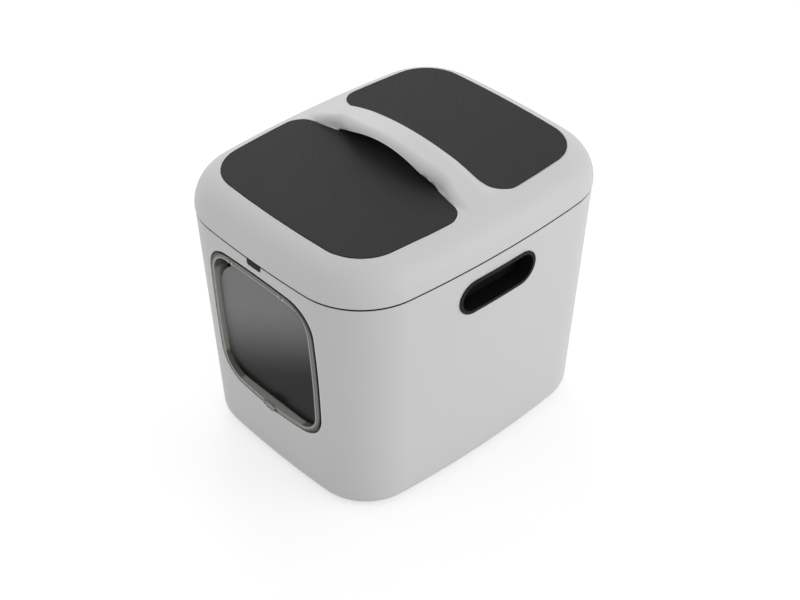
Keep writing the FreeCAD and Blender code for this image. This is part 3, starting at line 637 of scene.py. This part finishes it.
def cut_across(bm, axis, places, reach):
    """Adds grid lines along one axis, on the faces near the handle and on the large ones."""
    for place in places:
        spot, normal = Vector((0, 0, 0)), Vector((0, 0, 0))
        spot[axis] = place
        normal[axis] = 1
        near = [
            f for f in bm.faces
            if abs(f.calc_center_median().y) < reach or f.calc_area() > large_face
        ]
        geom = list({part for f in near for part in (*f.verts, *f.edges, f)})
        bmesh.ops.bisect_plane(bm, geom=geom, plane_co=spot, plane_no=normal, dist=NEAR)


for axis, start, end, spacing in grid_lines:
    cut_across(bm, axis, spaced(start, end, spacing), handle_reach)
for v in bm.verts:
    if v.co.z > lift_above and abs(v.co.x) < lift_within:
        crisp = (1 - ease(*crisp_sides, abs(v.co.x))) * (1 - ease(*crisp_rear, v.co.y))
        melt = handle_blend * (1 - crisp_share * crisp)
        lift = soft_max(v.co.z, handle_height(v.co.x, v.co.y), melt) - v.co.z
        v.co.z += lift * (1 - ease(*fade_sides, abs(v.co.x)))
print("lid body", len(bm.faces), "faces, crest at", round(max(v.co.z for v in bm.verts) / MM, 1))
lid_shell = as_object(bm, "lid_shell")

# %% [markdown]
# ## Room and mouth
# Seven forms come out of the lid's body. The first two are the room under the dome and the mouth
# inside the rim. While the lid is shut nobody sees them, and it could stay solid, but this lid
# opens. Both start from the lid's own plan, moved in, so the wall runs evenly round the sides.

# %% Room and mouth
lid_wall = 3.0 * MM
room_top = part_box("front_mat")[0].z - 3.0 * MM
room_round = 40.5 * MM
room_segments = 14
skirt_inset = 8.0 * MM
skirt_wall = 2.5 * MM

bm = bmesh.new()
outline = bowed_loop(bm, lid_plan, lid_wall, lid_base + lid_wall, lid_steps)
top = raise_face(bm, outline, (0, 0, room_top - lid_base - lid_wall))
round_edges(bm, list(top.edges), room_round, room_segments)
room = as_object(bm, "room")

bm = bmesh.new()
outline = bowed_loop(bm, lid_plan, skirt_inset + skirt_wall, lid_base - lid_wall, lid_steps)
raise_face(bm, outline, (0, 0, 3 * lid_wall))
mouth = as_object(bm, "mouth")
print("room up to", round(room_top / MM, 1))

# %% [markdown]
# ## The finger pocket
# Fingers reach under the handle through a pocket that is open to the front. A stretched cylinder
# would be quick, but its floor would be round. So an arc is spun, closed with a flat floor, pulled
# backwards and rounded at its far end.

# %% Finger pocket
pocket_arch = 216 * MM
pocket_height = 24.8 * MM
pocket_depth = 43 * MM
pocket_front = -82.5 * MM
pocket_run_out = 60 * MM
pocket_round = 8 * MM
pocket_floor = mat_high_corner.z
pocket_half = math.sqrt(pocket_arch ** 2 - (pocket_arch - pocket_height) ** 2)
pocket_turn = 2 * math.asin(pocket_half / pocket_arch)
bm = bmesh.new()
start = bm.verts.new((-pocket_half, pocket_front, lid_top))
centre = (0, pocket_front, lid_top + pocket_height - pocket_arch)
bmesh.ops.spin(bm, geom=[start], cent=centre, axis=(0, 1, 0), angle=pocket_turn, steps=40)
ends = [v for v in bm.verts if len(v.link_edges) == 1]
feet = bmesh.ops.extrude_vert_indiv(bm, verts=ends)["verts"]
bmesh.ops.translate(bm, verts=feet, vec=(0, 0, pocket_floor - lid_top))
bmesh.ops.contextual_create(bm, geom=feet)
far = raise_face(bm, list(bm.edges), (0, pocket_depth + pocket_run_out, 0))
vault = [e for e in far.edges if max(v.co.z for v in e.verts) > lid_top + NEAR]
round_edges(bm, vault, pocket_round, 6)
pocket = as_object(bm, "pocket")
print("pocket half width", round(pocket_half / MM, 1))

# %% [markdown]
# ## Recesses for the mats
# The mats lie in shallow recesses of the lid. These could be drawn again from sizes, but when they
# are grown from copies of the mats themselves, the gap round each mat is even. Two tall wings of
# the front recess, left and right of the finger pocket, trim the handle's feet.

# %% Mat recesses
recess_gap = 0.5 * MM
front_rise = 0.05 * MM
rear_rise = 1.5 * MM
wing_rise = 30 * MM
wing_start = 99.5 * MM


def recess(node, rise):
    """A cutter grown from a mat: its sides moved out by a gap and its top raised."""
    bm = bmesh.new()
    bm.from_mesh(nodes[node].data)
    bmesh.ops.remove_doubles(bm, verts=bm.verts, dist=NEAR)
    bmesh.ops.dissolve_limit(bm, angle_limit=math.radians(1), verts=bm.verts, edges=bm.edges)
    low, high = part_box(node)
    outward = {}
    for v in bm.verts:
        walls = [f.normal for f in v.link_faces if abs(f.normal.z) < 0.5]
        outward[v] = sum(walls, Vector()).normalized()
    for v, way in outward.items():
        v.co += way * recess_gap
        if v.co.z > (low.z + high.z) / 2:
            v.co.z = lid_top + rise
    return bm


def wing(side):
    """The tall part of the front recess beside the finger pocket."""
    bm = recess("front_mat", wing_rise)
    cut = bmesh.ops.bisect_plane(
        bm, geom=[*bm.verts, *bm.edges, *bm.faces], dist=NEAR,
        plane_co=(side * wing_start, 0, 0), plane_no=(-side, 0, 0), clear_outer=True,
    )["geom_cut"]
    rims = [g for g in cut if isinstance(g, bmesh.types.BMEdge)]
    bmesh.ops.contextual_create(bm, geom=rims)
    bmesh.ops.recalc_face_normals(bm, faces=bm.faces)
    return as_object(bm, "wing")


front_recess = as_object(recess("front_mat", front_rise), "front_recess")
rear_recess = as_object(recess("rear_mat", rear_rise), "rear_recess")
wings = [wing(-1), wing(1)]
print("recesses with a gap of", recess_gap / MM, "mm")

# %% [markdown]
# ## Carving the lid
# Now all seven forms are taken out of the lid. Hollows could be modelled into the mesh by hand,
# but boolean modifiers with the exact solver follow the curved dome by themselves. The result
# replaces the modifiers, and the finished piece gets its material and the body that it moves with.

# %% Carve and dress the lid
sharp_angle = math.radians(32)


def carve(piece, *cutters):
    """Takes the cutters out of a piece and throws them away."""
    for cutter in cutters:
        cut = piece.modifiers.new("carve", "BOOLEAN")
        cut.operation = "DIFFERENCE"
        cut.solver = "EXACT"
        cut.object = cutter
    bpy.context.view_layer.update()
    graph = bpy.context.evaluated_depsgraph_get()
    mesh = bpy.data.meshes.new_from_object(piece.evaluated_get(graph))
    piece.modifiers.clear()
    piece.data = mesh
    for cutter in cutters:
        bpy.data.objects.remove(cutter)


def dress(piece, finish, body):
    """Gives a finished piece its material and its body."""
    piece.data.materials.clear()
    piece.data.materials.append(finish.material)
    piece.data.shade_smooth()
    piece.data.set_sharp_from_angle(angle=sharp_angle)
    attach(piece, body)
    return piece


carve(lid_shell, room, mouth, pocket, front_recess, rear_recess, *wings)
dress(lid_shell, shell, "lid_body")
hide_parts("lid")
print("lid", len(lid_shell.data.polygons), "faces")

# %% [markdown]
# ## The lid's skirt
# Turn the real lid over and a skirt runs round it just inside the rim, with a notch at the front
# for the latch. It could be extruded out of the lid, but the carved mesh is irregular there. A
# separate band between two outlines, pulled up, is clean and easy to round along its lower edges.

# %% Lid skirt
skirt_drop = 11.5 * MM
skirt_overlap = 1.5 * MM
skirt_round = 0.8 * MM
skirt_edge = lid_base - 10 * MM
skirt_notch = 30 * MM
notch_front = -300 * MM
notch_floor = 300 * MM


def raise_band(bm, plan, insets, z, height, steps):
    """Bridges two insets of a plan into a flat ring and pulls it up into a band."""
    loops = []
    for inset in insets:
        loops += bowed_loop(bm, plan, inset, z, steps)
    pull(bm, bmesh.ops.bridge_loops(bm, edges=loops)["faces"], (0, 0, height))


def sharp_edges(bm, low=-math.inf, high=math.inf):
    """The edges with a sharp turn that lie between two heights."""
    return [
        e for e in bm.edges
        if e.calc_face_angle(0) > 1 and all(low < v.co.z < high for v in e.verts)
    ]


def box_mesh(bm, low, high):
    """Adds a block between two corners."""
    middle = (Vector(low) + Vector(high)) / 2
    size = Vector(high) - Vector(low)
    place = Matrix.Translation(middle) @ Matrix.Diagonal((*size, 1))
    bmesh.ops.create_cube(bm, size=1, matrix=place)


bm = bmesh.new()
skirt_insets = (skirt_inset, skirt_inset + skirt_wall)
skirt_height = skirt_drop + skirt_overlap
raise_band(bm, lid_plan, skirt_insets, lid_base - skirt_drop, skirt_height, lid_steps)
round_edges(bm, sharp_edges(bm, high=skirt_edge), skirt_round, 2)
skirt = as_object(bm, "lid_skirt")
bm = bmesh.new()
box_mesh(bm, (-skirt_notch, notch_front, notch_floor), (skirt_notch, 0, lid_base))
carve(skirt, as_object(bm, "notch"))
dress(skirt, shell, "lid_body")
print("skirt", len(skirt.data.polygons), "faces")

# %% [markdown]
# ## Hook and knuckles
# A small hook hangs at the lid's front for the latch, and two knuckles at the rear take the hinge
# pins. They could be joined to the lid by booleans, but they only have to run into it, so plain
# blocks and barrels with rounded edges are enough.

# %% Lid hook and knuckles
hook_half = 7.3 * MM
hook_front = lid_low.y + 8.3 * MM
hook_low = lid_low.z
hook_wall = 2.5 * MM
hook_root = 2 * MM
toe_length = 11.5 * MM
toe_height = 2.7 * MM
hook_round = 0.5 * MM
bm = bmesh.new()
hook_corner = (-hook_half, hook_front, hook_low)
box_mesh(bm, hook_corner, (hook_half, hook_front + hook_wall, lid_base + hook_root))
box_mesh(bm, hook_corner, (hook_half, hook_front + toe_length, hook_low + toe_height))
round_edges(bm, list(bm.edges), hook_round, 2)
dress(as_object(bm, "lid_hook"), shell, "lid_body")

knuckle_half = 7 * MM
knuckle_radius = 3.4 * MM
knuckle_round = 0.4 * MM
root_reach = 6 * MM
root_low = lid_base + 0.2 * MM
root_high = lid_base + 5 * MM
bm = bmesh.new()
for pin in ("lid_hinge_pin_left", "lid_hinge_pin_right"):
    low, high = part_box(pin)
    axle = (low + high) / 2
    turn = Matrix.Translation(axle) @ Matrix.Rotation(math.radians(90), 4, "Y")
    bmesh.ops.create_cone(
        bm, cap_ends=True, segments=40, radius1=knuckle_radius, radius2=knuckle_radius,
        depth=2 * knuckle_half, matrix=turn,
    )
    root = (axle.x - knuckle_half, axle.y - root_reach, root_low)
    box_mesh(bm, root, (axle.x + knuckle_half, axle.y, root_high))
round_edges(bm, sharp_edges(bm), knuckle_round, 2)
dress(as_object(bm, "lid_knuckles"), shell, "lid_body")
print("knuckles on", [round(c / MM, 1) for c in axle.yz])

# %% [markdown]
# ## The seal on the rim and the seam's shade
# The dark line between tub and lid is a rubber seal that lies on the tub's rim, together with the
# shade in the seam, and the lid comes down just above it. A profile could be swept along the rim,
# but a flat band between two outlines with a rounded crest looks the same and uses the helper of
# the skirt. It is wider than the solid's seal and reaches the rim's outer edge as painted shade, so
# that the seam reads dark from every side.

# %% Rim seal and painted seam shade
gasket_low, gasket_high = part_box("rim_seal")
rim_step = 0.8 * MM
rim_plan = tuple(length - rim_step for length in lid_plan)
seal_and_shade_insets = (0.3 * MM, 5.4 * MM)
gasket_height = gasket_high.z - gasket_low.z
gasket_round = 0.8 * MM
bm = bmesh.new()
# Painted shade: the dark band is wider than the seal and reaches the rim's outer edge.
raise_band(bm, rim_plan, seal_and_shade_insets, gasket_low.z, gasket_height, lid_steps)
round_edges(bm, sharp_edges(bm, low=gasket_high.z - NEAR), gasket_round, 3)
seam_seal_and_shade = dress(as_object(bm, "rim_seal_and_seam_shade"), seal, "tub_body")
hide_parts("rim_seal")
print("gasket from", round(gasket_low.z / MM, 2), "to", round(gasket_high.z / MM, 2))

# %% [markdown]
# ## The lip and clips of the door frame
# A fine lip runs round the inside of the frame's face and catches the light, and two pairs of
# small clips near the top hold the flap's hinge. The frame leans with the wall and is bowed, so
# setting them by an angle would leave gaps. They are drawn flat on the floor, raised, stood up and
# pushed back until they lie on the frame, which is found by casting rays.

# %% Door lip and clips
frame_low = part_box("door_frame")[0]
solid = bmesh.new()
solid.from_mesh(nodes["door_frame"].data)
frame_tree = BVHTree.FromBMesh(solid)
solid.free()
door_steps = (14, 16, 14)
sunk = 0.6 * MM
trim_round = 0.7 * MM


def stand_on_frame(bm):
    """Stands a drawing up against the frame's face; its height becomes the distance out of it."""
    for v in bm.verts:
        x, z, out = v.co.x, v.co.y + door_middle, v.co.z
        spot = frame_tree.ray_cast(Vector((x, -1, z)), Vector((0, 1, 0)))[0]
        v.co = (x, spot.y + sunk - out, z)
    bmesh.ops.recalc_face_normals(bm, faces=bm.faces)


lip_insets = (5.6 * MM, 7.7 * MM)
lip_height = 1.5 * MM
bm = bmesh.new()
raise_band(bm, door_plan, lip_insets, 0, lip_height, door_steps)
round_edges(bm, sharp_edges(bm, low=lip_height / 2), trim_round, 3)
stand_on_frame(bm)
dress(as_object(bm, "door_lip"), lip_finish, "tub_body")

clip_spread = 52 * MM
clip_offset = 4 * MM
clip_half = 2 * MM
clip_height = 2.2 * MM
clip_foot = 7.4 * MM
clip_head = 2.2 * MM
bm = bmesh.new()
for side in (-1, 1):
    for offset in (-clip_offset, clip_offset):
        x = side * clip_spread + offset
        crown = door_half_z - x * x / (2 * top_bow)
        low = (x - clip_half, crown - clip_foot, 0)
        box_mesh(bm, low, (x + clip_half, crown - clip_head, clip_height))
round_edges(bm, list(bm.edges), trim_round, 2)
stand_on_frame(bm)
dress(as_object(bm, "hinge_clips"), lip_finish, "tub_body")
print("frame face from", round(frame_low.y / MM, 1))

# %% [markdown]
# ## The floor
# The box stands on a plain white floor. A brighter lamp would make the floor white, but would
# bleach the box too. So the floor adds a little glow for camera and glossy rays alone: it reads as
# white, the box's soft shadow stays on it, and the glow itself lights no matt surface.

# %% Floor
floor_size = 12.0
floor_glow = 2.62
floor_share = 0.8
bm = bmesh.new()
bmesh.ops.create_grid(bm, x_segments=1, y_segments=1, size=floor_size / 2)
floor = as_object(bm, "floor")

paper = Finish("floor_paper", Roughness=0.9, Specular_IOR_Level=0.0)
paper.feed("Base Color", paper.blend(paper.noise(3, 2), grey(0.79), grey(0.81)))
ray = "ShaderNodeLightPath"
mirrored = paper.node(ray, {}, {}, "Is Glossy Ray")
seen = paper.node(ray, {}, {}, "Is Camera Ray").at_least(mirrored)
glow = paper.node("ShaderNodeEmission", {}, {"Color": grey(1.0), "Strength": floor_glow})
lit = Wire(paper.tree, paper.shader.outputs[0])
veiled = paper.node("ShaderNodeMixShader", {}, {0: 1 - floor_share, 1: lit, 2: glow})
shown = paper.node("ShaderNodeMixShader", {}, {0: seen, 1: lit, 2: veiled})
plug(paper.tree, shown, paper.tree.nodes["Material Output"].inputs["Surface"])
floor.data.materials.append(paper.material)
print("floor", floor_size, "m wide")

# %% [markdown]
# ## The sky
# Soft light comes from all round. A photographed studio would need an image file, so the sky is a
# sum: brighter at both sides than in front, a little brighter behind and above, and plain white
# for the camera.

# %% Sky
sky_level = 0.36
sky_least = 0.05
side_share = 0.56
rear_share = 0.20
top_share = 0.17

world = bpy.data.worlds.new("studio")
world.use_nodes = True
bpy.context.scene.world = world
sky = Board(world.node_tree)
way = sky.node("ShaderNodeTexCoord", {}, {}, "Generated")
to_right, to_rear, to_top = sky.axes(way, "XYZ")
glow = sky_level + side_share * to_right.size() + rear_share * to_rear + top_share * to_top
backdrop = "ShaderNodeBackground"
soft = sky.node(backdrop, {}, {"Color": grey(1.0), "Strength": glow.at_least(sky_least)})
white = sky.node(backdrop, {}, {"Color": grey(1.0), "Strength": 1.0})
seen = sky.node(ray, {}, {}, "Is Camera Ray")
shown = sky.node("ShaderNodeMixShader", {}, {0: seen, 1: soft, 2: white})
plug(sky.tree, shown, sky.tree.nodes["World Output"].inputs["Surface"])
print("sky level", sky_level)

# %% [markdown]
# ## Lamps
# The sky alone leaves the form flat. One strong lamp would model it with hard shadows, so three
# wide, weak ones do it softly: one low on the right, one behind on the left, and one high in front
# for the lid's shoulder. Each line of the table holds a spot, a width and a power.

# %% Lamps
lamps = {
    "side": ((3.0, 1.8, 1.0), 2.0, 20),
    "rear": ((-2.6, 1.6, 2.0), 1.6, 15),
    "front": ((-0.6, -2.2, 3.2), 1.6, 10),
}
for name, (spot, width, power) in lamps.items():
    light = bpy.data.lights.new(name, "AREA")
    light.shape = "DISK"
    light.size = width
    light.energy = power
    stand = bpy.data.objects.new(name, light)
    stand.location = spot
    stand.rotation_euler = (Vector(spot) - look_at).to_track_quat("Z", "Y").to_euler()
    bpy.context.scene.collection.objects.link(stand)
print("stage set with", len(lamps), "lamps")

# %% [markdown]
# ## Close the lesson
# The picture is judged with plain colours, so the view transform is Standard and not a film look.

# %% Finish
bpy.context.scene.view_settings.view_transform = "Standard"
